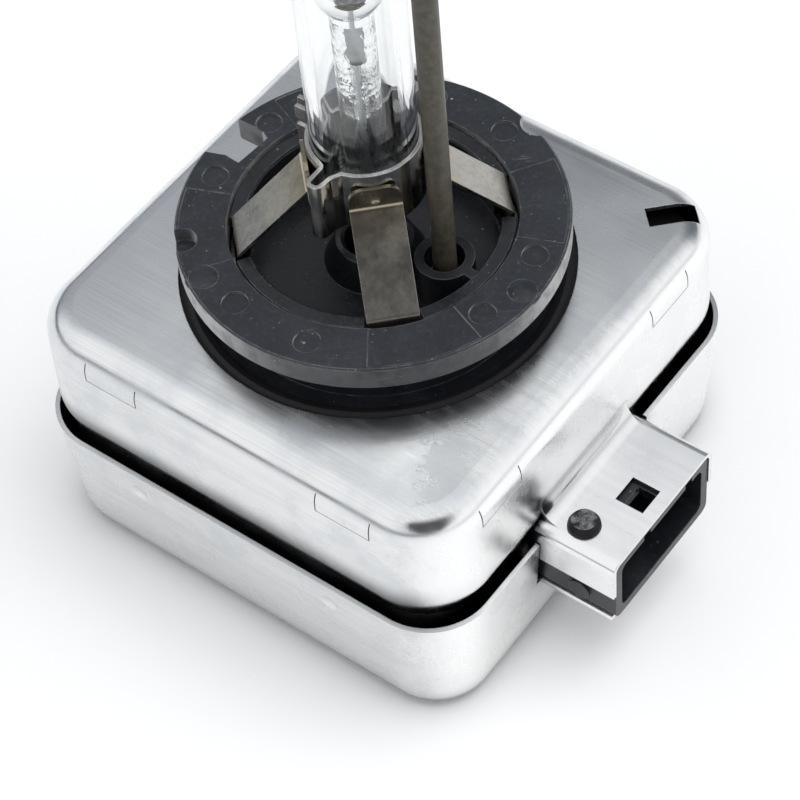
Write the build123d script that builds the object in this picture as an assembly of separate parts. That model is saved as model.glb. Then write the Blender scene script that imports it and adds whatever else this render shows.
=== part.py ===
from build123d import *

import os
from math import cos, hypot, radians, sin

# Gas-discharge headlight bulb with its igniter built into the base.
# Millimetres. The origin is on the bulb axis at the top face of the base ring,
# +Z points to the bulb's tip and +X to the ballast connector.

# --- base ring ---
RING_R = 16.0
RING_THICK = 2.3
RING_BORE_R = 11.8
NECK_R = 13.2
BASE_FLANGE_R = 17.6
BASE_FLANGE_TOP = -6.7
BASE_BOTTOM = -8.2
STEP_TOP = -4.6
STEP_BORE_R = 11.1
BOSS_ORBIT_R = 14.6
BOSS_R = 1.2
BOSS_HEIGHT = 0.25
MARK_ORBIT_R = 13.8
MARK_R = 1.1
MARK_DEPTH = 0.18

# --- cup inside the ring ---
CUP_LIP_R = 11.68
CUP_LIP_EDGE = 0.18
CUP_LIP_TOP = -0.3
CUP_LIP_BOTTOM = -1.5
CUP_R = 10.9
CUP_BORE_R = 10.3
CUP_FLOOR_TOP = -4.9
CUP_FLOOR_BOTTOM = -5.9
COLLAR_TOP = -1.0
COLLAR_R = 2.45
COLLAR_BORE_R = 1.65

# --- shields, folded from one thickness of aluminium sheet ---
SHEET = 0.4
UPPER_TOP = -5.55
UPPER_HALF = 21.15
UPPER_CORNER_R = 5.85
UPPER_FILLET_R = 2.5
UPPER_DRAFT = 0.25
UPPER_STEP_TOP = -15.5
UPPER_STEP_BOTTOM = -17.5
UPPER_STEP_BEND_R = 3.5
UPPER_SKIRT_BEND_R = 1.3
UPPER_STEP_IN = 0.75
UPPER_BOTTOM = -20.2
SHELL_HOLE_R = 16.35
LANCE_WIDTH = 5.3
LANCE_HEIGHT = 1.9
LANCE_BOTTOM = -8.75
LANCE_SLIT = 0.09
LANCE_CENTRES = ((-12.7, 11.1), (-12.0, 12.0), (-12.0, 12.0), (-11.35, 12.05))
LOWER_RIM = -18.0
LOWER_HALF = 21.9
LOWER_CORNER_R = 5.9
LOWER_DRAFT = 1.0
LOWER_FILLET_R = 1.9
LOWER_BOTTOM = -30.7

# --- connector on the +X side ---
TONGUE_TOP = -16.0
TONGUE_END = 28.95
TONGUE_Y = (-8.95, 5.5)
TONGUE_BEND_R = 1.8
FLAP_BEND_R = 1.0
FLAP_BOTTOM = -20.1
SOCKET_BACK = 20.0
SOCKET_END = 28.85
SOCKET_Y = (-8.5, 5.05)
SOCKET_Z = (-23.6, -16.45)
SOCKET_WALL = 0.9
SOCKET_FLOOR_X = 21.6
CONNECTOR_Y = (TONGUE_Y[0] + TONGUE_Y[1]) / 2
WINDOW_X = 26.5
WINDOW_HALF = 1.3
RIVET_X = 24.6
RIVET_Y = -6.6
RIVET_SHAFT_R = 0.85
RIVET_HEAD_R = 1.4
RIVET_HEAD_H = 0.85
PIN_PITCH = 2.5
PIN_COUNT = 4
PIN_SIZE = 0.64
PIN_Z = -20.1
PIN_TIP_X = 24.3
PIN_FOOT_X = 15.0

# --- igniter housing inside the shields ---
TUB_HALF = 19.8
TUB_CORNER_R = 4.4
TUB_WALL = 1.2
TUB_BOTTOM = -30.3
LID_THICK = 1.2
LID_BOTTOM = BASE_BOTTOM - LID_THICK
BOARD_TOP = -26.1
BOARD_THICK = 1.2
BOARD_HALF = 17.4

# --- lamp ---
GLASS_R = 4.26
GLASS_WALL = 0.95
GLASS_BOTTOM = 1.9
GLASS_TOP = 47.0
STEM_R = 1.7
STEM_BOTTOM = -3.4
STEM_TOP = 49.6
LIGHT_CENTRE = 27.1
ARC_BULB_R = 3.0
ARC_BULB_HALF = 4.6
CHAMBER_R = 1.35
CHAMBER_HALF = 2.7
ARC_GAP = 4.2
ELECTRODE_R = 0.15
ELECTRODE_LENGTH = 3.4
FOIL_WIDTH = 0.8
FOIL_LENGTH = 3.5
FOIL_THICK = 0.06
LEAD_R = 0.3
RETURN_X = 6.87
RETURN_Y = 0.25
CERAMIC_R = 0.98
CERAMIC_BORE_R = 0.45
CERAMIC_TOP = 45.5
RETURN_TOP = 50.6
RETURN_BEND_R = 1.6

# --- clamp band and legs that carry the lamp ---
BAND_R = 4.3
BAND_THICK = 0.35
BAND_Z = (3.7, 9.4)
FOLD_TIP_R = 6.62
FOLD_BEND_R = 0.45
FOLD_SPAN = (-17, 14)
FOLD_AZIMUTHS = (-90, 90)
SEAM_AZIMUTH = 180
SEAM_NOTCH_Z = (7.4, 8.0)
LEG_AZIMUTHS = {"front": -45, "right": 45, "back": 135, "left": -135}
LEG_WIDTH = 4.2
LEG_THICK = 0.3
LEG_TAB_R = BAND_R + BAND_THICK
LEG_TAB_TOP = 8.3
LEG_BEND_Z = 6.1
LEG_SHOULDER_R = 10.9
LEG_FOOT = -4.4
MOUNT_RING_THICK = 0.35
MOUNT_RING_TOP = -3.0

# --- igniter transformer and board parts ---
CORE_R = 2.6
CORE_HALF = 15.5
COIL_Y = -8.5
COIL_Z = -16.6
COIL_R = 5.6
COIL_FLANGE_R = 6.3
COIL_SECTIONS = 7
COIL_HALF = 14.0
COIL_FLANGE_THICK = 0.7
HV_TUBE_R = 1.2


def turned(points):
    """Solid of revolution about Z from (radius, z) points."""
    return revolve(Plane.XZ * make_face(Polyline(*points, close=True)), Axis.Z)


def tube(outer, inner, low, high):
    """Round tube on the Z axis."""
    return turned([(inner, low), (outer, low), (outer, high), (inner, high)])


def block(x_span, y_span, z_span):
    """Box from its low and high coordinates."""
    size = [high - low for low, high in (x_span, y_span, z_span)]
    centre = [(high + low) / 2 for low, high in (x_span, y_span, z_span)]
    return Pos(*centre) * Box(*size)


def rod(radius, low, high, x=0.0, y=0.0):
    """Upright cylinder between two heights."""
    return Pos(x, y, (low + high) / 2) * Cylinder(radius, high - low)


def rod_along_x(radius, x_span, y, z):
    """Cylinder lying along X."""
    length = x_span[1] - x_span[0]
    return Pos(sum(x_span) / 2, y, z) * Rot(0, 90, 0) * Cylinder(radius, length)


def rounded_plate(half, corner_r, low, high):
    """Square plate with rounded corners."""
    return Pos(0, 0, low) * extrude(RectangleRounded(2 * half, 2 * half, corner_r), high - low)


def polar(radius, azimuth):
    """Plan position at a radius and an azimuth in degrees."""
    return radius * cos(radians(azimuth)), radius * sin(radians(azimuth))


def sector(inner, outer, start, end, low, high):
    """Part of a flat ring between two azimuths in degrees."""
    middle = Pos((inner + outer) / 2, (low + high) / 2)
    profile = Plane.XZ * (middle * Rectangle(outer - inner, high - low))
    return Rot(0, 0, start) * revolve(profile, Axis.Z, revolution_arc=end - start)


def sheet_profile(points, radii, thickness, side=Side.RIGHT):
    """Cross-section of a bent sheet: a path with rounded bends and its offset."""
    path = FilletPolyline(*points, radius=radii)
    return make_face(offset(path, amount=thickness, side=side, closed=True))


def swept_wall(profile, half, corner_r, z):
    """Sweep a wall section round a rounded square; the section's x points outwards."""
    path = (Pos(0, 0, z) * RectangleRounded(2 * half, 2 * half, corner_r)).face().outer_wire()
    tangent = path.tangent_at(0)
    plane = Plane(origin=path.position_at(0), x_dir=tangent.cross(Vector(0, 0, 1)), z_dir=-tangent)
    return sweep(plane * profile, path=path)


# --- shields ---

def upper_wall():
    """Top edge, side wall and tucked-in skirt of the upper shield."""
    drop = UPPER_STEP_TOP - UPPER_TOP
    points = [
        (0, 0),
        (UPPER_FILLET_R, 0),
        (UPPER_FILLET_R + UPPER_DRAFT, drop),
        (UPPER_FILLET_R + UPPER_DRAFT - UPPER_STEP_IN, UPPER_STEP_BOTTOM - UPPER_TOP),
        (UPPER_FILLET_R + UPPER_DRAFT - UPPER_STEP_IN, UPPER_BOTTOM - UPPER_TOP),
    ]
    profile = sheet_profile(points, [UPPER_FILLET_R - 0.05, UPPER_STEP_BEND_R, UPPER_SKIRT_BEND_R], SHEET)
    half = UPPER_HALF - UPPER_FILLET_R
    return swept_wall(profile, half, UPPER_CORNER_R - UPPER_FILLET_R, UPPER_TOP)


def corner_slot():
    """Cutter for the diagonal slot over the +X +Y corner of the upper shield."""
    start, end, width = 22.4, 26.6, 2.05
    cutter = block((start, end), (-width / 2, width / 2), (UPPER_TOP - 2.6, UPPER_TOP + 1))
    return Rot(0, 0, 45) * cutter


def lance_slits():
    """Cutters for the three-sided lanced tabs, two to a side."""
    x_span = (UPPER_HALF - 1, UPPER_HALF + 1)
    top = LANCE_BOTTOM + LANCE_HEIGHT
    slits = []
    for quarter, centres in enumerate(LANCE_CENTRES):
        for centre in centres:
            low, high = centre - LANCE_WIDTH / 2, centre + LANCE_WIDTH / 2
            cuts = [block(x_span, (low, high), (LANCE_BOTTOM, LANCE_BOTTOM + LANCE_SLIT))]
            for start in (low, high - LANCE_SLIT):
                cuts.append(block(x_span, (start, start + LANCE_SLIT), (LANCE_BOTTOM, top)))
            slits += [Rot(0, 0, 90 * quarter) * cut for cut in cuts]
    return slits


def connector_tongue():
    """Sheet that leaves the upper shield's +X wall and covers the socket."""
    wall_x = UPPER_HALF + UPPER_DRAFT
    bend = sheet_profile(
        [(wall_x - 0.02, TONGUE_TOP + 2.2), (wall_x, TONGUE_TOP), (wall_x + 3, TONGUE_TOP)],
        [TONGUE_BEND_R],
        SHEET,
    )
    half_neck = (TONGUE_Y[1] - TONGUE_Y[0]) / 2 - FLAP_BEND_R
    neck = Pos(0, CONNECTOR_Y, 0) * extrude(Plane.XZ * bend, amount=half_neck, both=True)
    start_x = wall_x - 0.1
    cover = Plane.YZ * sheet_profile(
        [
            (TONGUE_Y[0], FLAP_BOTTOM),
            (TONGUE_Y[0], TONGUE_TOP),
            (TONGUE_Y[1], TONGUE_TOP),
            (TONGUE_Y[1], FLAP_BOTTOM),
        ],
        [FLAP_BEND_R, FLAP_BEND_R],
        SHEET,
    )
    return neck + Pos(start_x, 0, 0) * extrude(cover, amount=TONGUE_END - start_x)


def make_upper_shield():
    half = UPPER_HALF - UPPER_FILLET_R
    corner = UPPER_CORNER_R - UPPER_FILLET_R
    top = rounded_plate(half + 0.01, corner, UPPER_TOP - SHEET, UPPER_TOP)
    shield = upper_wall() + top - rod(SHELL_HOLE_R, UPPER_TOP - 1, UPPER_TOP + 1)
    shield -= corner_slot()
    shield -= lance_slits()
    skirt_y = (SOCKET_Y[0] - 0.3, SOCKET_Y[1] + 0.3)
    shield -= block((UPPER_HALF - 2, TONGUE_END), skirt_y, (UPPER_BOTTOM - 1, TONGUE_TOP))
    shield += connector_tongue()
    window = Pos(WINDOW_X, CONNECTOR_Y, TONGUE_TOP) * Box(2 * WINDOW_HALF, 2 * WINDOW_HALF, 2)
    rivet_hole = rod(RIVET_SHAFT_R + 0.1, TONGUE_TOP - 1, TONGUE_TOP + 1, RIVET_X, RIVET_Y)
    return shield - window - rivet_hole


def make_lower_shield():
    height = LOWER_RIM - LOWER_BOTTOM
    reach = LOWER_FILLET_R + LOWER_DRAFT
    points = [(0, 0), (LOWER_FILLET_R, 0), (reach, height)]
    profile = sheet_profile(points, [LOWER_FILLET_R - 0.05], SHEET, Side.LEFT)
    half = LOWER_HALF - reach
    wall = swept_wall(profile, half, LOWER_CORNER_R - reach, LOWER_BOTTOM)
    floor = rounded_plate(half + 0.01, LOWER_CORNER_R - reach, LOWER_BOTTOM, LOWER_BOTTOM + SHEET)
    sill = SOCKET_Z[0] - SHEET
    opening_y = (TONGUE_Y[0] - 0.08, SOCKET_Y[1] + 1.6)
    opening = block((UPPER_HALF - 2, LOWER_HALF + 1), opening_y, (sill, LOWER_RIM + 1))
    tongue = block((UPPER_HALF - 0.4, SOCKET_END - 0.4), SOCKET_Y, (sill - 0.05, SOCKET_Z[0]))
    dent_r, dent_z, dent_x = 1.6, LOWER_RIM - 2.6, 10.0
    dents = []
    for side in (-1, 1):
        for x in (-dent_x, dent_x):
            dents.append(Pos(x, side * (LOWER_HALF - 0.2 + dent_r - 0.25), dent_z) * Sphere(dent_r))
    return wall + floor - opening - dents + tongue


# --- base ---

def ring_notches():
    """Cutters for the keyway and the two small locating notches of the ring."""
    key = Polyline(
        (-17, -2.3), (-15.5, -1.82), (-14.1, -1.3), (-12.65, -1.4),
        (-12.35, 2.1), (-13.3, 2.55), (-15.5, 2.5), (-17, 2.5), close=True,
    )
    low = -RING_THICK - 0.1
    keyway = Pos(0, 0, low) * extrude(make_face(key), RING_THICK + 1)
    blind_notch = Rot(0, 0, -137) * rod(1.25, -1.4, 1, 15.4)
    shallow_notch = Rot(0, 0, 71) * rod(1.5, low, 1, 16.5)
    return [keyway, blind_notch, shallow_notch]


def ring_marks():
    """Shallow ejector marks and lowered pads in the ring's top face."""
    cutters = []
    for quarter in range(4):
        for side in (-15, 15):
            x, y = polar(MARK_ORBIT_R, 90 * quarter + side)
            cutters.append(rod(MARK_R, -MARK_DEPTH, 1, x, y))
    for start in (22, -55, 124, -158):
        cutters.append(sector(RING_BORE_R - 0.5, 15.65, start, start + 34, -0.06, 1))
    return cutters


def ring_bosses():
    """Three domed bosses that set the reference plane."""
    dome_r = (BOSS_R**2 + BOSS_HEIGHT**2) / (2 * BOSS_HEIGHT)
    bosses = []
    for azimuth in (0, 120, 240):
        x, y = polar(BOSS_ORBIT_R, azimuth)
        dome = Pos(x, y, BOSS_HEIGHT - dome_r) * Sphere(dome_r)
        bosses.append(dome & rod(BOSS_R + 0.3, -0.3, 1, x, y))
    return bosses


def make_base_ring():
    edge = 0.15
    body = turned([
        (RING_BORE_R, 0),
        (RING_R - edge, 0),
        (RING_R, -edge),
        (RING_R, -RING_THICK + edge),
        (RING_R - edge, -RING_THICK),
        (NECK_R, -RING_THICK),
        (NECK_R, BASE_FLANGE_TOP),
        (BASE_FLANGE_R, BASE_FLANGE_TOP),
        (BASE_FLANGE_R, BASE_BOTTOM),
        (STEP_BORE_R, BASE_BOTTOM),
        (STEP_BORE_R, STEP_TOP),
        (RING_BORE_R, STEP_TOP),
    ])
    return body - ring_notches() - ring_marks() + ring_bosses()


def make_seal_ring():
    """Rubber seal between the base flange and the upper shield."""
    bottom, top = BASE_FLANGE_TOP, UPPER_TOP - SHEET
    lip = [(15.9, top), (15.5, top + 0.12), (14.9, top - 0.1)]
    return turned([(14.9, bottom), (17.4, bottom), (17.4, top), *lip])


def make_lamp_cup():
    """Plastic cup that closes the ring's bore and insulates both lamp leads."""
    shell = turned([
        (CUP_BORE_R, CUP_LIP_TOP - CUP_LIP_EDGE),
        (CUP_BORE_R + CUP_LIP_EDGE, CUP_LIP_TOP),
        (CUP_LIP_R - CUP_LIP_EDGE, CUP_LIP_TOP),
        (CUP_LIP_R, CUP_LIP_TOP - CUP_LIP_EDGE),
        (CUP_LIP_R, CUP_LIP_BOTTOM),
        (CUP_R, CUP_LIP_BOTTOM),
        (CUP_R, BASE_BOTTOM),
        (CUP_R - 1, BASE_BOTTOM),
        (CUP_R - 1, CUP_FLOOR_BOTTOM),
        (2.5, CUP_FLOOR_BOTTOM),
        (2.5, -2.6),
        (2.8, -2.3),
        (3.2, -2.5),
        (4.3, CUP_FLOOR_TOP),
        (CUP_BORE_R, CUP_FLOOR_TOP),
    ])
    collar = rod(COLLAR_R, CUP_FLOOR_BOTTOM, COLLAR_TOP, RETURN_X, RETURN_Y)
    rib_length, rib_width = 3.2, 0.9
    rib = block((0, rib_length), (-rib_width / 2, rib_width / 2), (CUP_FLOOR_BOTTOM, COLLAR_TOP))
    shell += collar
    shell += Pos(RETURN_X, RETURN_Y, 0) * Rot(0, 0, -6) * rib
    shell -= rod(COLLAR_BORE_R, -3.6, 1, RETURN_X, RETURN_Y)
    shell -= rod(CERAMIC_R + 0.02, CUP_FLOOR_BOTTOM - 1, -3, RETURN_X, RETURN_Y)
    for azimuth in LEG_AZIMUTHS.values():
        start, end = azimuth - 11.8, azimuth + 11.8
        shell -= sector(CUP_BORE_R - 0.3, CUP_LIP_R + 0.5, start, end, LEG_FOOT - 0.3, 1)
    return shell


# --- lamp support ---

def make_clamp_band():
    """Spring band round the glass with two closed folds and an open, flanged seam."""
    low, high = BAND_Z
    height = high - low
    middle_r = BAND_R + BAND_THICK / 2
    first, last = polar(middle_r, FOLD_SPAN[0]), polar(middle_r, FOLD_SPAN[1])
    band = tube(BAND_R + BAND_THICK, BAND_R, low, high)
    for azimuth in (*FOLD_AZIMUTHS, SEAM_AZIMUTH):
        start, end = azimuth + FOLD_SPAN[0] + 2, azimuth + FOLD_SPAN[1] - 2
        band -= sector(BAND_R - 1, BAND_R + 1, start, end, low - 1, high + 1)
    corners = [(4.55, -0.61), (FOLD_TIP_R, -0.58), (FOLD_TIP_R, 0.46), (5.19, 0.62)]
    fold = bent_strip([first, *corners, last], height)
    for azimuth in FOLD_AZIMUTHS:
        band += Pos(0, 0, low) * Rot(0, 0, azimuth) * fold
    flanges = bent_strip([first, (4.55, -0.5), (6.8, -0.5)], height)
    flanges += bent_strip([last, (4.55, 0.36), (6.4, 0.36)], height)
    notch = block((5.3, 8), (-2, 2), (SEAM_NOTCH_Z[0] - low, SEAM_NOTCH_Z[1] - low))
    return band + Pos(0, 0, low) * Rot(0, 0, SEAM_AZIMUTH) * (flanges - notch)


def bent_strip(points, height):
    """Upright strip along a plan path with rounded bends."""
    path = FilletPolyline(*points, radius=FOLD_BEND_R)
    return extrude(trace(path, line_width=BAND_THICK), height)


def make_leg(azimuth):
    """Strip from the clamp band down into the ring, with its welded tab."""
    inner_r = LEG_TAB_R + 0.02
    path = [
        (inner_r, LEG_TAB_TOP),
        (inner_r, LEG_BEND_Z),
        (LEG_SHOULDER_R, -0.1),
        (LEG_SHOULDER_R, LEG_FOOT),
    ]
    strip = Plane.XZ * sheet_profile(path, [0.9, 0.4], LEG_THICK, Side.LEFT)
    leg = extrude(strip, amount=LEG_WIDTH / 2, both=True)
    corner_r = 1.1
    cut_z = LEG_TAB_TOP - corner_r
    for side in (-1, 1):
        y = side * (LEG_WIDTH / 2 - corner_r)
        square = block((4, 6), sorted((y, side * 3)), (cut_z, LEG_TAB_TOP + 1))
        leg -= square - rod_along_x(corner_r, (3, 7), y, cut_z)
    weld = Pos(inner_r + LEG_THICK + 0.42, 0, 7.0) * Sphere(0.55)
    return Rot(0, 0, azimuth) * (leg - weld)


def make_mounting_ring():
    """Steel ring in the base, round the feet of the four legs."""
    inner = hypot(LEG_SHOULDER_R + LEG_THICK, LEG_WIDTH / 2) + 0.01
    return tube(inner + MOUNT_RING_THICK, inner, STEP_TOP, MOUNT_RING_TOP)


# --- lamp ---

def make_outer_bulb():
    """Protective glass sleeve, closed onto the arc tube's stem at both ends."""
    inner = GLASS_R - GLASS_WALL
    seal = STEM_R + 0.01
    dome = 1.6
    outside = [
        (seal, GLASS_BOTTOM),
        (GLASS_R - dome, GLASS_BOTTOM),
        (GLASS_R, GLASS_BOTTOM + dome),
        (GLASS_R, GLASS_TOP - dome),
        (GLASS_R - dome, GLASS_TOP),
        (seal, GLASS_TOP + 0.8),
    ]
    inside = [
        (seal, GLASS_TOP - 0.4),
        (inner - dome, GLASS_TOP - GLASS_WALL),
        (inner, GLASS_TOP - GLASS_WALL - dome),
        (inner, GLASS_BOTTOM + GLASS_WALL + dome),
        (inner - dome + 0.3, GLASS_BOTTOM + GLASS_WALL),
        (seal, GLASS_BOTTOM + GLASS_WALL),
    ]
    face = make_face(Polyline(*outside, *inside, close=True))
    outer_corners = [corner for corner in face.vertices() if corner.X > GLASS_R - dome - 0.01]
    return revolve(Plane.XZ * fillet(outer_corners, 1.1), Axis.Z)


def ellipsoid(radius, half_length, z):
    """Ellipsoid of revolution about Z."""
    half_face = Ellipse(radius, half_length) & Pos(radius, 0) * Rectangle(2 * radius, 3 * half_length)
    return Pos(0, 0, z) * revolve(Plane.XZ * half_face, Axis.Z)


def lamp_inserts():
    """Electrode, foil and lead of both ends, as (name, solid) pairs."""
    inserts = []
    for name, side in (("lower", -1), ("upper", 1)):
        tip = side * ARC_GAP / 2
        foot = tip + side * ELECTRODE_LENGTH
        foil_end = foot + side * FOIL_LENGTH
        lead_end = {-1: -7.2 - LIGHT_CENTRE, 1: 51.2 - LIGHT_CENTRE}[side]
        electrode = rod(ELECTRODE_R, *sorted((tip, foot)))
        foil_x, foil_y = (-FOIL_WIDTH / 2, FOIL_WIDTH / 2), (-FOIL_THICK / 2, FOIL_THICK / 2)
        foil = block(foil_x, foil_y, sorted((foot, foil_end)))
        lead = rod(LEAD_R, *sorted((foil_end, lead_end)))
        lift = Pos(0, 0, LIGHT_CENTRE)
        inserts.append((f"electrode_{name}", lift * electrode))
        inserts.append((f"foil_{name}", lift * Rot(0, 0, 35) * foil))
        inserts.append((f"lead_{name}", lift * lead))
    return inserts


def make_arc_tube(inserts):
    """Quartz tube with its discharge chamber, pinched round foils and leads."""
    body = rod(STEM_R, STEM_BOTTOM, STEM_TOP) + ellipsoid(ARC_BULB_R, ARC_BULB_HALF, LIGHT_CENTRE)
    body -= ellipsoid(CHAMBER_R, CHAMBER_HALF, LIGHT_CENTRE)
    for _, solid in inserts:
        body -= solid
    return body


def make_salt_pellet():
    """Metal-halide dose lying low in the discharge chamber."""
    low = LIGHT_CENTRE - CHAMBER_HALF
    drop = ellipsoid(CHAMBER_R, CHAMBER_HALF, LIGHT_CENTRE) & block((-2, 2), (-2, 2), (low, low + 0.5))
    return drop - rod(ELECTRODE_R, low - 1, low + 2)


def make_return_wire():
    """Wire from the lamp's tip, over and down through the ceramic tube."""
    end_z = -8.9
    start = Vector(LEAD_R, 0, RETURN_TOP)
    corner = Vector(RETURN_X, RETURN_Y, RETURN_TOP)
    path = FilletPolyline(start, corner, Vector(RETURN_X, RETURN_Y, end_z), radius=RETURN_BEND_R)
    section = Plane(origin=start, z_dir=corner - start) * Circle(LEAD_R)
    return sweep(section, path=path)


def make_ceramic_tube():
    bottom = CUP_FLOOR_BOTTOM
    body = rod(CERAMIC_R, bottom, CERAMIC_TOP, RETURN_X, RETURN_Y)
    return body - rod(CERAMIC_BORE_R, bottom - 1, CERAMIC_TOP + 1, RETURN_X, RETURN_Y)


# --- igniter housing and connector ---

def make_housing_tub():
    """Plastic tub that holds the igniter; its posts carry the circuit board."""
    tub = rounded_plate(TUB_HALF, TUB_CORNER_R, TUB_BOTTOM, LID_BOTTOM)
    low_edges = tub.edges().group_by(Axis.Z)[0]
    tub = fillet(low_edges, 1.5)
    floor = TUB_BOTTOM + TUB_WALL
    tub -= rounded_plate(TUB_HALF - TUB_WALL, TUB_CORNER_R - TUB_WALL, floor, LID_BOTTOM + 1)
    for x in (-15.5, 15.5):
        for y in (-15.5, 15.5):
            tub += rod(1.6, floor - 0.1, BOARD_TOP - BOARD_THICK, x, y)
    for y in pin_rows():
        tub -= Pos(TUB_HALF, y, PIN_Z) * Box(4 * TUB_WALL, PIN_SIZE, PIN_SIZE)
    return tub


def make_housing_lid():
    """Cover between the igniter and the lamp base."""
    lid = rounded_plate(TUB_HALF, TUB_CORNER_R, LID_BOTTOM, BASE_BOTTOM)
    lid -= rod(HV_TUBE_R + 0.1, LID_BOTTOM - 1, BASE_BOTTOM + 1)
    return lid - rod(LEAD_R + 0.15, LID_BOTTOM - 1, BASE_BOTTOM + 1, RETURN_X, RETURN_Y)


def pin_rows():
    """Y of each contact pin, centred on the connector."""
    return [CONNECTOR_Y + PIN_PITCH * (row - (PIN_COUNT - 1) / 2) for row in range(PIN_COUNT)]


def make_connector_socket():
    """Plastic socket with two key slots, a latch hole and side lugs."""
    body = block((SOCKET_BACK, SOCKET_END), SOCKET_Y, SOCKET_Z)
    body = fillet(body.edges().filter_by(Axis.X), FLAP_BEND_R - 0.2)
    cavity_y = (SOCKET_Y[0] + SOCKET_WALL, SOCKET_Y[1] - SOCKET_WALL)
    cavity_z = (SOCKET_Z[0] + SOCKET_WALL, SOCKET_Z[1] - SOCKET_WALL)
    cavity = block((SOCKET_FLOOR_X, SOCKET_END + 1), cavity_y, cavity_z)
    body -= fillet(cavity.edges().filter_by(Axis.X), 0.7)
    slot_x = (SOCKET_END - 4.2, SOCKET_END + 1)
    slot_z = (cavity_z[1] - 0.2, SOCKET_Z[1] - 0.35)
    for y in (-3.9, 2.2):
        body -= block(slot_x, (y - 0.5, y + 0.5), slot_z)
    latch_x = (WINDOW_X - 0.6, WINDOW_X + 1.3)
    body -= block(latch_x, (CONNECTOR_Y - 1, CONNECTOR_Y + 1), (cavity_z[1] - 0.2, SOCKET_Z[1] + 1))
    for wall_y in SOCKET_Y:
        body += Pos(25.4, wall_y, -21.8) * Rot(90, 0, 0) * Cylinder(1.0, 0.5)
    tub = rounded_plate(TUB_HALF, TUB_CORNER_R, TUB_BOTTOM, LID_BOTTOM)
    body -= tub & block((19, 22), (-20, 20), (-30, -10))
    body -= rod(RIVET_SHAFT_R + 0.01, cavity_z[1] - 0.1, SOCKET_Z[1] + 1, RIVET_X, RIVET_Y)
    for y in pin_rows():
        body -= Pos(SOCKET_FLOOR_X, y, PIN_Z) * Box(6, PIN_SIZE, PIN_SIZE)
    return body


def make_connector_rivet():
    """Rivet that holds the socket to the shield's tongue, with a flat domed head."""
    shaft = rod(RIVET_SHAFT_R, SOCKET_Z[1] - SOCKET_WALL, TONGUE_TOP + 0.1, RIVET_X, RIVET_Y)
    head = turned([
        (0, 0.01),
        (RIVET_HEAD_R, 0.01),
        (RIVET_HEAD_R - 0.05, 0.35),
        (1.05, RIVET_HEAD_H),
        (0, RIVET_HEAD_H),
    ])
    return shaft + Pos(RIVET_X, RIVET_Y, TONGUE_TOP) * head


def make_contact_pin(y):
    """Bent contact pin from the socket to the circuit board."""
    half = PIN_SIZE / 2
    y_span = (y - half, y + half)
    foot_z = (BOARD_TOP - BOARD_THICK - 0.4, PIN_Z)
    level = block((PIN_FOOT_X - half, PIN_TIP_X), y_span, (PIN_Z - half, PIN_Z + half))
    foot = block((PIN_FOOT_X - half, PIN_FOOT_X + half), y_span, foot_z)
    return chamfer((level + foot).edges().group_by(Axis.X)[-1], 0.15)


# --- igniter parts ---

def make_circuit_board():
    board = rounded_plate(BOARD_HALF, 2.5, BOARD_TOP - BOARD_THICK, BOARD_TOP)
    for y in pin_rows():
        board -= Pos(PIN_FOOT_X, y, BOARD_TOP) * Box(PIN_SIZE, PIN_SIZE, 4)
    return board


def section_spans():
    """X span of each winding section between the bobbin's flanges."""
    pitch = (2 * COIL_HALF - COIL_FLANGE_THICK) / COIL_SECTIONS
    starts = [-COIL_HALF + COIL_FLANGE_THICK + index * pitch for index in range(COIL_SECTIONS)]
    return [(start, start + pitch - COIL_FLANGE_THICK) for start in starts]


def crossover(size):
    """Bar through the flanges, where the winding passes from section to section."""
    spans = section_spans()
    return Pos(0, COIL_Y, COIL_Z + COIL_R - 0.7) * block(
        (spans[1][0] + 0.5, spans[-1][1] - 0.5), (-size / 2, size / 2), (-size / 2, size / 2)
    )


def make_coil_bobbin():
    bobbin = rod_along_x(COIL_FLANGE_R, (-COIL_HALF, COIL_HALF), COIL_Y, COIL_Z)
    bobbin -= crossover(1.1)
    for span in section_spans():
        bobbin -= winding(span, COIL_FLANGE_R + 1)
    bobbin -= rod_along_x(CORE_R, (-COIL_HALF - 1, COIL_HALF + 1), COIL_Y, COIL_Z)
    foot_z = (BOARD_TOP, COIL_Z - COIL_R)
    for x in (-COIL_HALF + COIL_FLANGE_THICK / 2, COIL_HALF - COIL_FLANGE_THICK / 2):
        half = COIL_FLANGE_THICK / 2
        bobbin += block((x - half, x + half), (COIL_Y - 4, COIL_Y + 4), foot_z)
    return bobbin


def winding(span, radius):
    """Plain sleeve round the bobbin's barrel."""
    body = rod_along_x(radius, span, COIL_Y, COIL_Z)
    return body - rod_along_x(CORE_R + 0.8, span, COIL_Y, COIL_Z)


def make_secondary_winding():
    winding_body = crossover(0.9)
    for span in section_spans()[1:]:
        winding_body += winding(span, COIL_R)
    return winding_body


def make_primary_winding():
    return winding(section_spans()[0], COIL_R + 0.4)


def make_capacitor():
    body = block((-14, 2), (3, 10.5), (BOARD_TOP, BOARD_TOP + 11))
    return fillet(body.edges().filter_by(Axis.Z), 0.8)


def make_spark_gap():
    """Gas-filled spark gap: a sleeve between two end cups."""
    y, z = 14.1, BOARD_TOP + 3.2
    body = rod_along_x(2.7, (-10, -4), y, z)
    return body + rod_along_x(3.2, (-11.5, -10), y, z) + rod_along_x(3.2, (-4, -2.5), y, z)


def make_bleed_resistor():
    y, z = 13.6, BOARD_TOP + 1.3
    body = rod_along_x(1.1, (1.5, 8.0), y, z)
    caps = rod_along_x(1.3, (1.5, 2.9), y, z) + rod_along_x(1.3, (6.6, 8.0), y, z)
    return body + caps


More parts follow.
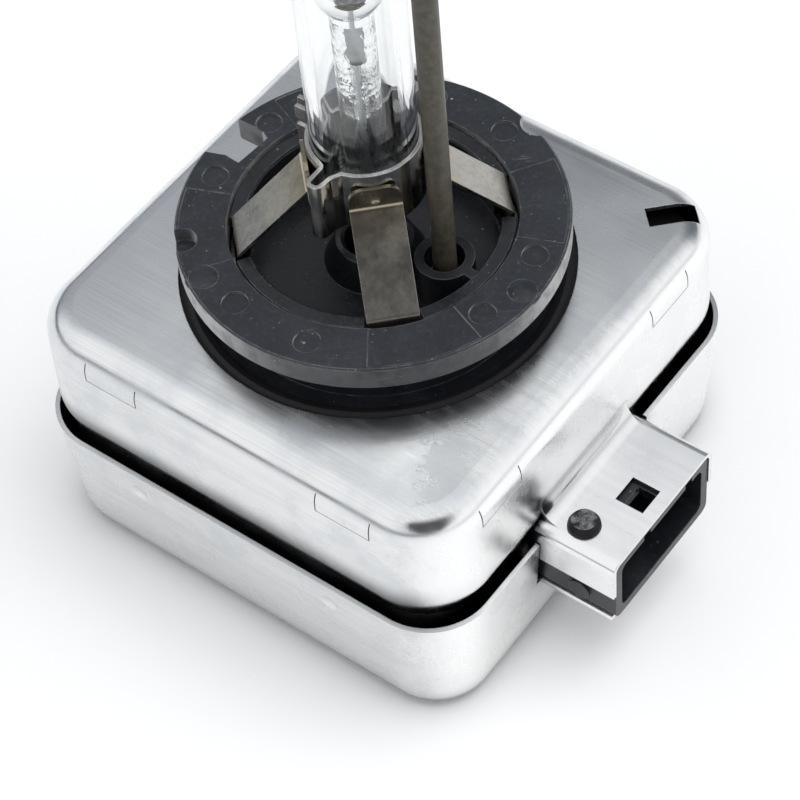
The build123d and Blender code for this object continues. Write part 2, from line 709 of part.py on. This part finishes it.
def make_filter_choke():
    """Small drum choke beside the capacitor."""
    x, y = 8.5, 7.0
    drum = rod(3.2, BOARD_TOP, BOARD_TOP + 7, x, y)
    groove = rod(4, BOARD_TOP + 1, BOARD_TOP + 6, x, y) - rod(2.3, BOARD_TOP + 1, BOARD_TOP + 6, x, y)
    return drum - groove


def make_hv_contact():
    """Sleeve that grips the lower lead and the strap to the secondary's hot end."""
    top, bottom = CUP_FLOOR_BOTTOM - 0.1, LID_BOTTOM - 0.6
    sleeve = tube(HV_TUBE_R, LEAD_R, bottom, top)
    strap_top = LID_BOTTOM - 0.1
    strap = block((-1.2, 1.2), (COIL_Y + COIL_FLANGE_R + 0.1, 1.2), (strap_top - 0.5, strap_top))
    strap -= rod(LEAD_R, -20, 0)
    return sleeve + strap


def make_return_contact():
    """Upright strap that takes the return wire down to the board."""
    y_span = (RETURN_Y - 1, RETURN_Y + 1)
    strap = block((RETURN_X - 1.4, RETURN_X + 1.4), y_span, (LID_BOTTOM - 0.6, LID_BOTTOM))
    strap -= rod(LEAD_R, -20, 0, RETURN_X, RETURN_Y)
    riser = block((RETURN_X + 1.4, RETURN_X + 1.8), y_span, (BOARD_TOP, LID_BOTTOM))
    return strap + riser


def make_earth_spring():
    """Bent strip that earths the lower shield to the board."""
    x = -(BOARD_HALF - 1.5)
    pad = block((x - 1.2, x + 1.2), (-2, 2), (BOARD_TOP, BOARD_TOP + 0.3))
    riser = block((x - 1.2, x - 0.9), (-2, 2), (BOARD_TOP, BOARD_TOP + 6))
    return pad + riser


def build_parts():
    """Every separate piece of the bulb by name."""
    inserts = lamp_inserts()
    parts = {
        "upper_shield": make_upper_shield(),
        "lower_shield": make_lower_shield(),
        "base_ring": make_base_ring(),
        "seal_ring": make_seal_ring(),
        "lamp_cup": make_lamp_cup(),
        "clamp_band": make_clamp_band(),
        "mounting_ring": make_mounting_ring(),
        "outer_bulb": make_outer_bulb(),
        "arc_tube": make_arc_tube(inserts),
        "salt_pellet": make_salt_pellet(),
        "return_wire": make_return_wire(),
        "ceramic_tube": make_ceramic_tube(),
        "igniter_tub": make_housing_tub(),
        "igniter_lid": make_housing_lid(),
        "connector_socket": make_connector_socket(),
        "connector_rivet": make_connector_rivet(),
        "circuit_board": make_circuit_board(),
        "transformer_core": rod_along_x(CORE_R, (-CORE_HALF, CORE_HALF), COIL_Y, COIL_Z),
        "coil_bobbin": make_coil_bobbin(),
        "secondary_winding": make_secondary_winding(),
        "primary_winding": make_primary_winding(),
        "ignition_capacitor": make_capacitor(),
        "spark_gap": make_spark_gap(),
        "bleed_resistor": make_bleed_resistor(),
        "filter_choke": make_filter_choke(),
        "hv_contact": make_hv_contact(),
        "return_contact": make_return_contact(),
        "earth_spring": make_earth_spring(),
    }
    for name, azimuth in LEG_AZIMUTHS.items():
        parts[f"leg_{name}"] = make_leg(azimuth)
    for name, solid in inserts:
        parts[name] = solid
    for index, y in enumerate(pin_rows(), start=1):
        parts[f"contact_pin_{index}"] = make_contact_pin(y)
    return parts


os.makedirs("parts", exist_ok=True)
for part_name, shape in build_parts().items():
    export_step(shape, f"parts/{part_name}.step")
    print(part_name, len(shape.solids()), round(shape.volume, 2))
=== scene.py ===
from math import cos, radians, sin

import bpy
from mathutils import Matrix, Vector


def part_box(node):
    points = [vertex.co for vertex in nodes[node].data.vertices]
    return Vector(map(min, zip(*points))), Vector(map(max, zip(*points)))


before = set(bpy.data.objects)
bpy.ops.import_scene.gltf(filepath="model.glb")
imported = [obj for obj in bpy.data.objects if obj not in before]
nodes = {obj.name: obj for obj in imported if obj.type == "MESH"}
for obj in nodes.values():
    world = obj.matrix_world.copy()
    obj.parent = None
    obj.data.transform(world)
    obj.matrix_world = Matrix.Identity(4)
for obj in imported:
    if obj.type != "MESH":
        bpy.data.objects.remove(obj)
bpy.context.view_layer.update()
MM = 0.001

# --- camera: metres and degrees, looking down on the bulb from the front right ---
CAMERA_AZIMUTH = 40.926
CAMERA_ELEVATION = 51.56
CAMERA_ROLL = -5.919
CAMERA_DISTANCE = 0.22149
CAMERA_SIDE = 0.002196
CAMERA_RISE = -0.014834
CAMERA_LENS = 124.48
SENSOR_WIDTH = 36
NEAR_CLIP = 0.01

# --- places on the bulb, from the base ring's top face and axis ---
RING_THICK = 2.3 * MM
# Height of the seam, and how far above it the painted shade fades out.
SEAM_Z = -15.9 * MM
SEAM_FADE = 3 * MM
CONNECTOR_SIDE_X = 21.2 * MM
FROSTED_FOOT_Z = (2.6 * MM, 3.6 * MM)
RIPPLED_STEM_TOP_Z = (21.5 * MM, 23.5 * MM)
TAB_STRAW_Z = (3.5 * MM, 6.2 * MM)
TAB_BROWN_Z = (6.0 * MM, 6.9 * MM)
SHEET_CROWN = 2.0

# The photograph's viewing azimuth. The ring's rim is painted dark along it and pale at both sides, which
# copies how the rim's gloss looks from there; in other views the paint stays where it is.
RIM_DARK_ALONG = (0.655, -0.756, 0)

# --- studio: directions from the bulb that the metal mirrors, the softbox and the table ---
FAR_SIDE = (-0.50, 0.866, 0.0)
NEAR_BLOCK = (0.62, -0.57, 0.54)
LOW_SIDE = (-0.7, -0.7, 0.0)
SOFTBOX_PLACE = (0.13, 0.09, 0.58)
SOFTBOX_SIZE = 0.42
SOFTBOX_POWER = 1.75
TABLE_HALF = 1.5

X_AXIS = (1, 0, 0)
Y_AXIS = (0, 1, 0)
Z_AXIS = (0, 0, 1)


def make_camera():
    """Camera at the photograph's viewing angle, aimed near the base ring's centre."""
    azimuth, elevation, roll = map(radians, (CAMERA_AZIMUTH, CAMERA_ELEVATION, CAMERA_ROLL))
    back = Vector((sin(azimuth) * cos(elevation), -cos(azimuth) * cos(elevation), sin(elevation)))
    right = Vector((cos(azimuth), sin(azimuth), 0))
    up = back.cross(right)
    side = right * cos(roll) + up * sin(roll)
    rise = up * cos(roll) - right * sin(roll)
    place = back * CAMERA_DISTANCE + side * CAMERA_SIDE + rise * CAMERA_RISE
    data = bpy.data.cameras.new("camera")
    data.lens = CAMERA_LENS
    data.sensor_width = SENSOR_WIDTH
    data.clip_start = NEAR_CLIP
    camera = bpy.data.objects.new("camera", data)
    bpy.context.scene.collection.objects.link(camera)
    rotation = Matrix((side, rise, back)).transposed()
    camera.matrix_world = Matrix.Translation(place) @ rotation.to_4x4()
    bpy.context.scene.camera = camera


# --- material helpers ---

def rgb(red, green, blue):
    return (red, green, blue, 1.0)


class Graph:
    """Short calls for building a node tree."""

    def __init__(self, tree):
        self.tree = tree

    def add(self, kind, **settings):
        node = self.tree.nodes.new(kind)
        for key, value in settings.items():
            setattr(node, key, value)
        return node

    def put(self, socket, value):
        """Link an output to a socket, or set a plain value on it."""
        if isinstance(value, bpy.types.NodeSocket):
            self.tree.links.new(value, socket)
        else:
            socket.default_value = value

    def ramp(self, value, low, high, to_low=0.0, to_high=1.0):
        """Smooth step of a value from one range to another."""
        node = self.add("ShaderNodeMapRange", interpolation_type="SMOOTHSTEP")
        for key, number in zip(("From Min", "From Max", "To Min", "To Max"), (low, high, to_low, to_high)):
            node.inputs[key].default_value = number
        self.put(node.inputs["Value"], value)
        return node.outputs[0]

    def math(self, operation, first, second=0.0):
        node = self.add("ShaderNodeMath", operation=operation)
        self.put(node.inputs[0], first)
        self.put(node.inputs[1], second)
        return node.outputs[0]

    def times(self, first, second):
        return self.math("MULTIPLY", first, second)

    def mix(self, factor, first, second):
        node = self.add("ShaderNodeMix", data_type="RGBA")
        self.put(node.inputs["Factor"], factor)
        self.put(node.inputs[6], first)
        self.put(node.inputs[7], second)
        return node.outputs[2]

    def dot(self, vector, direction):
        """Part of a vector that lies along a fixed direction."""
        node = self.add("ShaderNodeVectorMath", operation="DOT_PRODUCT")
        self.put(node.inputs[0], vector)
        node.inputs[1].default_value = direction
        return node.outputs["Value"]


class Paint(Graph):
    """One principled material in the frame's own metres."""

    def __init__(self, name):
        self.material = bpy.data.materials.new(name)
        self.material.use_nodes = True
        super().__init__(self.material.node_tree)
        self.tree.nodes.clear()
        self.shader = self.add("ShaderNodeBsdfPrincipled")
        self.put(self.add("ShaderNodeOutputMaterial").inputs["Surface"], self.shader.outputs[0])
        self.position = self.add("ShaderNodeTexCoord").outputs["Object"]
        self.normal = self.add("ShaderNodeNewGeometry").outputs["Normal"]

    def set(self, **values):
        """Set shader sockets by name, with underscores for spaces."""
        for key, value in values.items():
            self.put(self.shader.inputs[key.replace("_", " ")], value)

    def colour(self):
        """Output that feeds the base colour so far."""
        return self.shader.inputs["Base Color"].links[0].from_socket

    def height(self):
        return self.dot(self.position, Z_AXIS)

    def scaled(self, x=1.0, y=1.0, z=1.0, turn=0.0):
        """Position with each axis scaled, after a turn about Z in degrees."""
        node = self.add("ShaderNodeMapping", vector_type="TEXTURE")
        node.inputs["Scale"].default_value = (1 / x, 1 / y, 1 / z)
        node.inputs["Rotation"].default_value = (0, 0, radians(turn))
        self.put(node.inputs["Vector"], self.position)
        return node.outputs[0]

    def noise(self, scale, detail=3.0, rough=0.55, vector=None):
        """Noise from 0 to 1; scale is in cells per metre."""
        node = self.add("ShaderNodeTexNoise")
        node.inputs["Scale"].default_value = scale
        node.inputs["Detail"].default_value = detail
        node.inputs["Roughness"].default_value = rough
        self.put(node.inputs["Vector"], vector or self.position)
        return node.outputs[0]

    def specks(self, scale, size, share):
        """Scattered round specks: cells per metre, radius in cells, share of the cells."""
        node = self.add("ShaderNodeTexVoronoi")
        node.inputs["Scale"].default_value = scale
        self.put(node.inputs["Vector"], self.position)
        spot = self.ramp(node.outputs["Distance"], size * 0.5, size, 1.0, 0.0)
        chosen = self.dot(node.outputs["Color"], X_AXIS)
        return self.times(spot, self.math("LESS_THAN", chosen, share))

    def scratches(self, scale, turn, width, patch):
        """Thin lines along one direction, broken up by patches."""
        line = self.noise(scale, 1, 0.3, self.scaled(0.035, 1, 0.6, turn))
        centre = self.math("ABSOLUTE", self.math("SUBTRACT", line, 0.5))
        where = self.ramp(self.noise(patch, 2), 0.52, 0.66)
        return self.times(self.ramp(centre, 0, width, 1.0, 0.0), where)

    def gap_shade(self, reach, low, high):
        """Painted shade: 1 in tight gaps and corners within reach of another surface, 0 in the open."""
        node = self.add("ShaderNodeAmbientOcclusion", samples=6)
        node.inputs["Distance"].default_value = reach
        return self.ramp(node.outputs["AO"], low, high, 1.0, 0.0)

    def crown(self, rate):
        """Height of a shallow dome round the axis, in metres."""
        flat = self.add("ShaderNodeVectorMath", operation="MULTIPLY")
        self.put(flat.inputs[0], self.position)
        flat.inputs[1].default_value = (1, 1, 0)
        square = self.add("ShaderNodeVectorMath", operation="DOT_PRODUCT")
        self.put(square.inputs[0], flat.outputs[0])
        self.put(square.inputs[1], flat.outputs[0])
        return self.times(square.outputs["Value"], -rate)

    def bump(self, height, distance, strength=1.0, normal=None):
        node = self.add("ShaderNodeBump")
        node.inputs["Strength"].default_value = strength
        node.inputs["Distance"].default_value = distance
        self.put(node.inputs["Height"], height)
        if normal is not None:
            self.put(node.inputs["Normal"], normal)
        return node.outputs[0]

    def rounded(self, radius):
        """Shading normal with the sharp edges softened."""
        node = self.add("ShaderNodeBevel", samples=4)
        node.inputs["Radius"].default_value = radius
        return node.outputs[0]

    def worn_edges(self, radius):
        """1 along sharp edges, where softened and plain normals differ."""
        node = self.add("ShaderNodeVectorMath", operation="DISTANCE")
        self.put(node.inputs[0], self.rounded(radius))
        self.put(node.inputs[1], self.normal)
        return self.ramp(node.outputs["Value"], 0.02, 0.25)


# --- the shields' aluminium sheet ---

def rolling_tangent(m):
    """Direction across the sheet's rolling streaks, which run along X and fold down the X walls."""
    split = m.add("ShaderNodeSeparateXYZ")
    m.put(split.inputs[0], m.normal)
    x, y, z = split.outputs
    join = m.add("ShaderNodeCombineXYZ")
    m.put(join.inputs["Y"], m.math("ADD", m.math("ABSOLUTE", z), m.math("ABSOLUTE", x)))
    m.put(join.inputs["Z"], m.times(y, -1.0))
    return join.outputs[0]


def sheet_colour(m, streak, fine, smudge, pale):
    """Streaks, brushing lines and smudges, mostly covered where painted light makes the sheet pale."""
    colour = m.mix(m.ramp(streak, 0.3, 0.75), rgb(0.85, 0.85, 0.84), rgb(0.76, 0.765, 0.765))
    colour = m.mix(m.ramp(fine, 0.35, 0.65, 0.0, 0.4), colour, rgb(0.64, 0.655, 0.67))
    colour = m.mix(m.times(smudge, 0.8), colour, rgb(0.66, 0.68, 0.71))
    return m.mix(m.times(pale, 0.85), colour, rgb(0.99, 0.99, 0.985))


def sheet_painted_shade(m, rise, pale, above_seam):
    """Painted shade in the walls' gaps, and painted shade fading up from the seam, except on the +X wall."""
    grime_and_shade = m.times(m.gap_shade(3 * MM, 0.45, 0.96), m.ramp(rise, 0.6, 0.95, 1.0, 0.12))
    if above_seam:
        # Painted shade, darkest at the seam and fading out above it.
        fade = m.ramp(m.height(), SEAM_Z, SEAM_Z + SEAM_FADE, 1.0, 0.0)
        fade = m.times(fade, m.ramp(pale, 0.0, 1.0, 1.0, 0.1))
        grime_and_shade = m.math("MAXIMUM", grime_and_shade, fade)
    return grime_and_shade


def sheet_roughness(m, streak, smudge, rise):
    """Cloudy satin, polished where the sheet bends."""
    cloud = m.noise(90, 3, 0.5)
    bend = m.times(m.ramp(rise, 0.08, 0.3), m.ramp(rise, 0.9, 0.99, 1.0, 0.0))
    rough = m.math("ADD", m.ramp(cloud, 0.3, 0.7, 0.19, 0.26), m.ramp(streak, 0.35, 0.75, 0.0, 0.06))
    rough = m.math("ADD", rough, m.times(smudge, 0.1))
    return m.math("SUBTRACT", rough, m.times(bend, 0.09))


def shield_material(name, above_seam=False):
    """Rolled aluminium sheet: fine streaks along X, soft waves, stains and scratches.

    The +X wall and the connector's cover get painted light: paler, to match their tone in the photograph.
    """
    m = Paint(name)
    streak = m.noise(1500, 4, 0.6, m.scaled(0.02, 1, 0.3))
    fine = m.noise(9000, 2, 0.5, m.scaled(0.012, 1, 1))
    smudge = m.ramp(m.noise(200, 5, 0.6), 0.40, 0.76)
    marks = m.math("ADD", m.scratches(900, 25, 0.004, 120), m.scratches(700, -50, 0.003, 150))
    # Painted light: the walls facing +X and the connector's cover turn near white.
    beyond = m.ramp(m.dot(m.position, X_AXIS), CONNECTOR_SIDE_X, CONNECTOR_SIDE_X + 1 * MM)
    pale = m.math("MAXIMUM", m.ramp(m.dot(m.normal, X_AXIS), 0.3, 0.9), beyond)
    rise = m.math("ABSOLUTE", m.dot(m.normal, Z_AXIS))
    colour = sheet_colour(m, streak, fine, smudge, pale)
    # Painted shade: near black in the gaps and corners, and fading up from the seam.
    colour = m.mix(sheet_painted_shade(m, rise, pale, above_seam), colour, rgb(0.13, 0.135, 0.14))
    colour = m.mix(m.times(marks, 0.35), colour, rgb(0.95, 0.95, 0.95))
    m.set(Metallic=1.0, Base_Color=colour, Roughness=sheet_roughness(m, streak, smudge, rise))
    m.set(Anisotropic=0.75, Tangent=rolling_tangent(m))
    crown = m.bump(m.crown(SHEET_CROWN), 1.0, 1.0, m.rounded(0.1 * MM))
    waves = m.bump(m.noise(55, 1, 0.3), 0.9 * MM, 0.2, crown)
    m.set(Normal=m.bump(fine, 0.005 * MM, 0.3, waves))
    return m


# --- plastics, steels, glass and the parts inside ---

def plastic_material(name, dark, light, rough, dust=0.0, wear_and_sheen=0.0):
    """Moulded black plastic with faint grain, dust specks and pale worn edges."""
    m = Paint(name)
    grain = m.noise(2600, 4, 0.6)
    haze = m.noise(170, 4, 0.6)
    colour = m.mix(m.ramp(haze, 0.35, 0.75), rgb(*dark), rgb(*light))
    pits = m.ramp(m.noise(2300, 5, 0.75), 0.5, 0.72, 0.0, 0.6)
    colour = m.mix(pits, colour, rgb(*(2.2 * part for part in light)))
    if dust:
        specks = m.math("ADD", m.specks(1900, 0.13, 0.22), m.specks(900, 0.12, 0.1))
        specks = m.math("ADD", specks, m.times(m.scratches(1500, 40, 0.005, 200), 0.35))
        colour = m.mix(m.times(specks, dust), colour, rgb(0.42, 0.43, 0.45))
    if wear_and_sheen:
        patchy = m.ramp(m.noise(600, 4, 0.7), 0.4, 0.62, 0.15, 1.0)
        edge = m.times(m.worn_edges(0.12 * MM), patchy)
        colour = m.mix(m.times(edge, wear_and_sheen), colour, rgb(0.34, 0.35, 0.36))
    m.set(Base_Color=colour, Roughness=m.ramp(haze, 0.3, 0.7, rough - 0.06, rough + 0.08))
    m.set(Normal=m.bump(grain, 0.02 * MM, 0.4, m.rounded(0.12 * MM)))
    return m


def ring_rim_sheen(m):
    """Painted sheen on the base ring's pale, patchy rim, dark along the photograph's viewing azimuth."""
    upright = m.ramp(m.math("ABSOLUTE", m.dot(m.normal, Z_AXIS)), 0.2, 0.75, 1.0, 0.0)
    on_ring = m.ramp(m.height(), -RING_THICK - 0.1 * MM, -RING_THICK + 0.1 * MM)
    middle = m.math("ABSOLUTE", m.dot(m.normal, RIM_DARK_ALONG))
    share = m.ramp(middle, 0.5, 0.92, 1.0, 0.12)
    patchy = m.ramp(m.noise(900, 4, 0.5), 0.3, 0.6, 0.55, 1.0)
    wear_and_sheen = m.times(m.times(upright, on_ring), m.times(share, patchy))
    # Painted sheen: the rim's gloss laid into its colour as pale grey.
    m.set(Base_Color=m.mix(wear_and_sheen, m.colour(), rgb(0.50, 0.50, 0.49)))


def steel_material(name, colour, rough, tint=0.0):
    """Drawn steel strip with fine lines, grime and straw-coloured heat tint."""
    m = Paint(name)
    lines = m.noise(3000, 3, 0.6, m.scaled(1, 1, 0.05))
    stain = m.noise(300, 4, 0.6)
    grime_and_shade = m.ramp(lines, 0.3, 0.7, 0, 0.4)
    base = m.mix(grime_and_shade, rgb(*colour), rgb(*(0.55 * part for part in colour)))
    base = m.mix(m.ramp(stain, 0.4, 0.9, 0, tint), base, rgb(0.40, 0.30, 0.17))
    m.set(Metallic=1.0, Base_Color=base, Roughness=m.ramp(stain, 0.3, 0.7, rough - 0.05, rough + 0.1))
    m.set(Normal=m.bump(lines, 0.01 * MM, 0.4, m.rounded(0.08 * MM)))
    return m


def heat_tint_tabs(m):
    """Straw and brown weld colours on the legs' tabs, fading below the bend."""
    straw = m.ramp(m.height(), *TAB_STRAW_Z, 0.0, 0.55)
    brown = m.ramp(m.height(), *TAB_BROWN_Z, 0.0, 0.5)
    tinted = m.mix(straw, m.colour(), rgb(0.42, 0.34, 0.20))
    m.set(Base_Color=m.mix(brown, tinted, rgb(0.16, 0.13, 0.10)))


def rivet_material():
    """Blackened rivet, its head rubbed bright in rough patches."""
    m = Paint("rivet_steel")
    rub = m.noise(1500, 5, 0.7)
    facing_up = m.ramp(m.dot(m.normal, Z_AXIS), 0.75, 0.98)
    bright = m.times(facing_up, m.ramp(rub, 0.38, 0.62))
    colour = m.mix(bright, rgb(0.03, 0.03, 0.032), rgb(0.30, 0.30, 0.30))
    m.set(Metallic=0.9, Base_Color=colour, Roughness=0.42)
    m.set(Normal=m.bump(rub, 0.22 * MM, 0.9, m.rounded(0.15 * MM)))
    return m


def glass_material():
    """Clear fused glass with faint draw lines along the axis and a frosted foot."""
    m = Paint("bulb_glass")
    lines = m.noise(700, 2, 0.4, m.scaled(1, 1, 0.04))
    frost = m.ramp(m.height(), *FROSTED_FOOT_Z, 0.45, 0.0)
    clear = m.ramp(m.height(), *FROSTED_FOOT_Z, 0.35, 1.0)
    m.set(Base_Color=rgb(0.99, 1.0, 1.0), Roughness=frost, IOR=1.47, Transmission_Weight=clear)
    m.set(Normal=m.bump(lines, 0.03 * MM, 0.2))
    return m


def quartz_material():
    """Quartz with the pinched stem's irregular, frosted ripples below the discharge chamber."""
    m = Paint("quartz")
    ripple = m.noise(900, 3, 0.6, m.scaled(1, 1, 0.55))
    stem = m.ramp(m.height(), *RIPPLED_STEM_TOP_Z, 1.0, 0.0)
    frost = m.times(stem, m.ramp(m.noise(500, 2), 0.4, 0.6, 0.04, 0.22))
    m.set(Base_Color=rgb(0.99, 1.0, 1.0), Roughness=frost, IOR=1.46, Transmission_Weight=1.0)
    m.set(Normal=m.bump(m.times(ripple, stem), 0.3 * MM, 0.6))
    return m


def grainy_material(name, dark, light, rough, scale=1400):
    """Mottled matt surface for ceramic, ferrite, board and bobbin."""
    m = Paint(name)
    grain = m.noise(scale, 5, 0.65)
    m.set(Base_Color=m.mix(m.ramp(grain, 0.35, 0.7), rgb(*dark), rgb(*light)))
    m.set(Roughness=m.ramp(grain, 0.3, 0.7, rough - 0.05, rough + 0.08))
    m.set(Normal=m.bump(grain, 0.03 * MM, 0.5))
    return m


def wound_material():
    """Enamelled copper wire, wound round the X axis."""
    m = Paint("copper_winding")
    wave = m.add("ShaderNodeTexWave", bands_direction="X")
    wave.inputs["Scale"].default_value = 900
    wave.inputs["Distortion"].default_value = 0.4
    m.put(wave.inputs["Vector"], m.position)
    turns = wave.outputs["Fac"]
    colour = m.mix(turns, rgb(0.18, 0.05, 0.015), rgb(0.55, 0.2, 0.07))
    m.set(Metallic=0.8, Base_Color=colour, Roughness=0.3)
    m.set(Normal=m.bump(turns, 0.08 * MM, 0.6))
    return m


# --- which node gets which material ---

def assign(paint, *names):
    for name in names:
        slots = nodes[name].data.materials
        slots.clear()
        slots.append(paint.material)


def paint_shell():
    """Shields, plastics and rubber."""
    assign(shield_material("upper_shield_aluminium", above_seam=True), "upper_shield")
    assign(shield_material("lower_shield_aluminium"), "lower_shield")
    base = plastic_material("base_plastic", (0.013, 0.015, 0.020), (0.026, 0.029, 0.035), 0.4, 0.6, 0.5)
    ring_rim_sheen(base)
    assign(base, "base_ring")
    cup = plastic_material("cup_plastic", (0.009, 0.010, 0.013), (0.015, 0.017, 0.020), 0.3, 0.4, 0.3)
    assign(cup, "lamp_cup")
    socket = plastic_material("socket_plastic", (0.008, 0.009, 0.012), (0.014, 0.015, 0.018), 0.33, 0.2, 0.2)
    assign(socket, "connector_socket")
    housing = plastic_material("housing_plastic", (0.010, 0.010, 0.011), (0.016, 0.016, 0.017), 0.5)
    assign(housing, "igniter_tub", "igniter_lid")
    assign(plastic_material("seal_rubber", (0.006, 0.006, 0.007), (0.010, 0.010, 0.011), 0.55), "seal_ring")
    assign(rivet_material(), "connector_rivet")


def paint_lamp():
    """Glass, quartz, legs, band, wires and the salt."""
    legs_steel = steel_material("leg_steel", (0.52, 0.50, 0.45), 0.2, 0.3)
    heat_tint_tabs(legs_steel)
    assign(legs_steel, "leg_front", "leg_right", "leg_back", "leg_left", "mounting_ring")
    assign(steel_material("band_steel", (0.70, 0.69, 0.66), 0.15, 0.2), "clamp_band")
    lamp_metal = steel_material("lamp_metal", (0.84, 0.85, 0.86), 0.45)
    for part in ("electrode", "foil", "lead"):
        assign(lamp_metal, f"{part}_lower", f"{part}_upper")
    assign(steel_material("wire_metal", (0.55, 0.54, 0.52), 0.3), "return_wire")
    assign(glass_material(), "outer_bulb")
    assign(quartz_material(), "arc_tube")
    assign(grainy_material("tube_ceramic", (0.052, 0.046, 0.033), (0.092, 0.082, 0.058), 0.4), "ceramic_tube")
    assign(grainy_material("salt", (0.35, 0.28, 0.08), (0.75, 0.68, 0.35), 0.6, 6000), "salt_pellet")


def paint_igniter():
    """Board, coil, contacts and the small parts in the case."""
    assign(grainy_material("board", (0.01, 0.07, 0.025), (0.02, 0.12, 0.04), 0.45, 900), "circuit_board")
    ferrite = grainy_material("ferrite", (0.012, 0.012, 0.012), (0.035, 0.034, 0.033), 0.55, 2200)
    assign(ferrite, "transformer_core", "filter_choke")
    assign(grainy_material("bobbin_plastic", (0.42, 0.40, 0.33), (0.52, 0.49, 0.41), 0.5), "coil_bobbin")
    assign(wound_material(), "secondary_winding", "primary_winding")
    capacitor = grainy_material("capacitor_case", (0.01, 0.04, 0.22), (0.015, 0.06, 0.28), 0.25, 700)
    assign(capacitor, "ignition_capacitor")
    assign(grainy_material("gap_ceramic", (0.60, 0.58, 0.52), (0.74, 0.71, 0.65), 0.4), "spark_gap")
    assign(grainy_material("resistor_body", (0.30, 0.25, 0.16), (0.38, 0.32, 0.22), 0.4), "bleed_resistor")
    contact = steel_material("contact_metal", (0.62, 0.50, 0.26), 0.3, 0.2)
    assign(contact, "hv_contact", "return_contact", "earth_spring")
    pin = steel_material("pin_metal", (0.66, 0.65, 0.62), 0.25)
    assign(pin, *(f"contact_pin_{number}" for number in range(1, 5)))


# --- surroundings ---

def make_floor(height):
    """Wide seamless white table."""
    mesh = bpy.data.meshes.new("floor")
    signs = ((-1, -1), (1, -1), (1, 1), (-1, 1))
    corners = [(x * TABLE_HALF, y * TABLE_HALF, height) for x, y in signs]
    mesh.from_pydata(corners, [], [(0, 1, 2, 3)])
    floor = bpy.data.objects.new("floor", mesh)
    bpy.context.scene.collection.objects.link(floor)
    m = Paint("floor")
    m.set(Base_Color=rgb(0.93, 0.93, 0.925), Roughness=0.6, Specular_IOR_Level=0.2)
    mesh.materials.append(m.material)


def studio_walls(g, direction, height):
    """White walls, grey on the far side, with a dark block nearby and a dark low edge."""
    left = g.ramp(g.dot(direction, (-1, 0, 0)), 0.36, 0.62)
    far_wall = g.mix(left, rgb(0.16, 0.175, 0.20), rgb(0.40, 0.42, 0.45))
    far = g.times(g.ramp(g.dot(direction, FAR_SIDE), 0.2, 0.58), g.ramp(height, 0.04, 0.2))
    walls = g.mix(far, rgb(1.0, 1.01, 1.03), far_wall)
    near = g.ramp(g.dot(direction, NEAR_BLOCK), 0.84, 0.95)
    walls = g.mix(near, walls, rgb(0.08, 0.08, 0.085))
    low = g.ramp(height, 0.06, 0.24, 1.0, 0.0)
    low_share = g.ramp(g.dot(direction, LOW_SIDE), -0.3, 0.5, 0.25, 0.92)
    return g.mix(g.times(low, low_share), walls, rgb(0.10, 0.125, 0.16))


def make_world():
    """White studio whose ceiling has one grey seam along X, placed by the photograph's reflections."""
    world = bpy.data.worlds.new("studio")
    bpy.context.scene.world = world
    world.use_nodes = True
    g = Graph(world.node_tree)
    direction = g.add("ShaderNodeTexCoord").outputs["Generated"]
    height = g.dot(direction, Z_AXIS)
    sky = g.mix(g.ramp(height, 0.68, 0.88), studio_walls(g, direction, height), rgb(1.0, 1.02, 1.04))
    across = g.dot(direction, Y_AXIS)
    seam = g.times(g.ramp(across, 0.08, 0.16), g.ramp(across, 0.20, 0.28, 0.6, 0.0))
    seam = g.times(seam, g.ramp(g.dot(direction, X_AXIS), -0.3, -0.15, 1.0, 0.0))
    sky = g.mix(seam, sky, rgb(0.28, 0.31, 0.36))
    background = world.node_tree.nodes["Background"]
    g.put(background.inputs["Color"], sky)
    background.inputs["Strength"].default_value = 1.0


def make_softbox():
    """Square softbox aimed at the origin; the metal mirrors the studio walls instead of it."""
    data = bpy.data.lights.new("softbox", "AREA")
    data.size = SOFTBOX_SIZE
    data.energy = SOFTBOX_POWER
    light = bpy.data.objects.new("softbox", data)
    light.location = SOFTBOX_PLACE
    light.rotation_mode = "QUATERNION"
    light.rotation_quaternion = (-Vector(SOFTBOX_PLACE)).to_track_quat("-Z", "Y")
    light.visible_glossy = False
    bpy.context.scene.collection.objects.link(light)


make_camera()
paint_shell()
paint_lamp()
paint_igniter()
make_floor(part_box("lower_shield")[0].z)
make_world()
make_softbox()
bpy.context.scene.view_settings.view_transform = "Standard"
